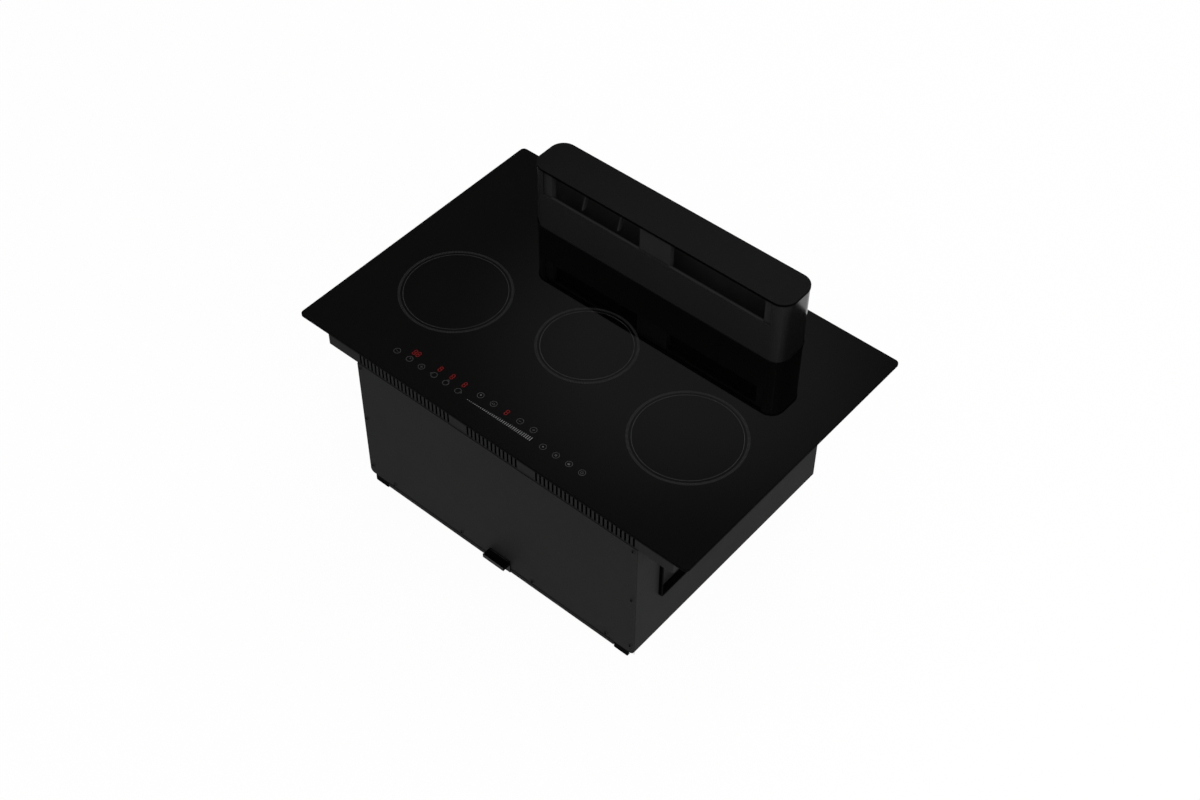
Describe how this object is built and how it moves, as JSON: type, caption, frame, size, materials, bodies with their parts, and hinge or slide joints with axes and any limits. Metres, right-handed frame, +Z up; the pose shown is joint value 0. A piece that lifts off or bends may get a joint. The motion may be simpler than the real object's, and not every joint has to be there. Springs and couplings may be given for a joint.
{
  "type": "downdraft induction cooktop",
  "caption": "Glass induction hob over a fan box, with a pop-up extractor tower behind the zones, front drip drawer and a rectangular side outlet.",
  "frame": {"origin": "on the floor line of the runners, under the middle of the glass", "axes": "+X to the cook's right, -Y towards the cook, +Z up; the tower is stored raised"},
  "size_m": [0.76, 0.516, 0.4505],
  "materials": {
    "glass_ceramic": "polished",
    "panel_black": "matte",
    "tower_black": "gloss",
    "sheet_steel": "satin",
    "aluminium": "satin",
    "bright_steel": "polished",
    "moulded_black": "matte",
    "grey_plate": "matte",
    "seal_foam": "matte",
    "ferrite": "matte",
    "copper": "satin",
    "mica": "matte",
    "circuit_board": "satin",
    "acetal": "matte"
  },
  "bodies": {
    "housing": {"glass_top": "glass_ceramic", "worktop_seal": "seal_foam", "slot_seal": "seal_foam", "tower_well": "moulded_black", "hob_tray": "panel_black", "coil_deck": "aluminium", "coil_left": "copper", "coil_middle": "copper", "coil_right": "copper", "coil_carriers": "aluminium", "mica_sheets": "mica", "ferrite_bars": "ferrite", "coil_springs": "bright_steel", "coil_sensors": "acetal", "mains_filter_board": "circuit_board", "power_boards": "circuit_board", "heat_sinks": "aluminium", "cooling_fan_frames": "moulded_black", "control_holder": "moulded_black", "control_board": "circuit_board", "digit_modules": "moulded_black", "key_pads": "acetal", "shaft_bearings": "acetal", "lift_motor": "panel_black", "guide_rods": "bright_steel", "rod_brackets": "acetal", "blower_scroll": "moulded_black", "scroll_lid": "moulded_black", "inlet_ring": "sheet_steel", "blower_motor": "sheet_steel", "outlet_duct": "sheet_steel", "outlet_collar": "moulded_black", "outlet_cover": "grey_plate", "box_wrap": "panel_black", "front_panel": "panel_black", "panel_screws": "tower_black", "bottom_pan": "sheet_steel", "air_partition": "sheet_steel", "runners": "sheet_steel", "runner_plugs": "moulded_black", "terminal_box": "moulded_black", "terminal_block": "acetal", "cable_gland": "moulded_black"},
    "tower": {"tower_cap": "tower_black", "tower_shell": "tower_black", "window_frame": "tower_black", "cap_stiffener": "tower_black", "grease_filters": "aluminium", "lift_brackets": "sheet_steel", "lift_racks": "acetal"},
    "lift_drive_shaft": {"lift_shaft": "bright_steel", "lift_pinions": "acetal"},
    "blower_rotor": {"impeller": "moulded_black", "blower_shaft": "bright_steel"},
    "fan_left": {"cooling_fan_rotor_left": "moulded_black"},
    "fan_right": {"cooling_fan_rotor_right": "moulded_black"},
    "drip_drawer": {"drip_tray": "panel_black", "tray_pull": "sheet_steel", "pull_grip": "moulded_black"},
    "flap": {"backdraft_flap": "moulded_black"}
  },
  "joints": [
    {"name": "tower_lift", "type": "slide", "parent": "housing", "child": "tower", "axis": [0, 0, 1], "range_m": [-0.1215, 0]},
    {"name": "lift_shaft_spin", "type": "hinge", "parent": "housing", "child": "lift_drive_shaft", "pos_m": [0, 0.116, 0.1435], "axis": [1, 0, 0], "range_deg": [-585, 5]},
    {"name": "blower_spin", "type": "hinge", "parent": "housing", "child": "blower_rotor", "pos_m": [-0.06, -0.0345, 0.14], "axis": [0, 0, 1], "continuous": true},
    {"name": "fan_left_spin", "type": "hinge", "parent": "housing", "child": "fan_left", "pos_m": [-0.1, 0.07, 0.28], "axis": [0, 0, 1], "continuous": true},
    {"name": "fan_right_spin", "type": "hinge", "parent": "housing", "child": "fan_right", "pos_m": [0.1, 0.07, 0.28], "axis": [0, 0, 1], "continuous": true},
    {"name": "drip_tray_slide", "type": "slide", "parent": "housing", "child": "drip_drawer", "axis": [0, -1, 0], "range_m": [0, 0.3]},
    {"name": "flap_swing", "type": "hinge", "parent": "housing", "child": "flap", "pos_m": [0.176, -0.1, 0.185], "axis": [0, -1, 0], "range_deg": [0, 70]}
  ],
  "couplings": [
    {"joint": "lift_shaft_spin", "follows": "tower_lift", "rad_per_m": 83.333}
  ]
}
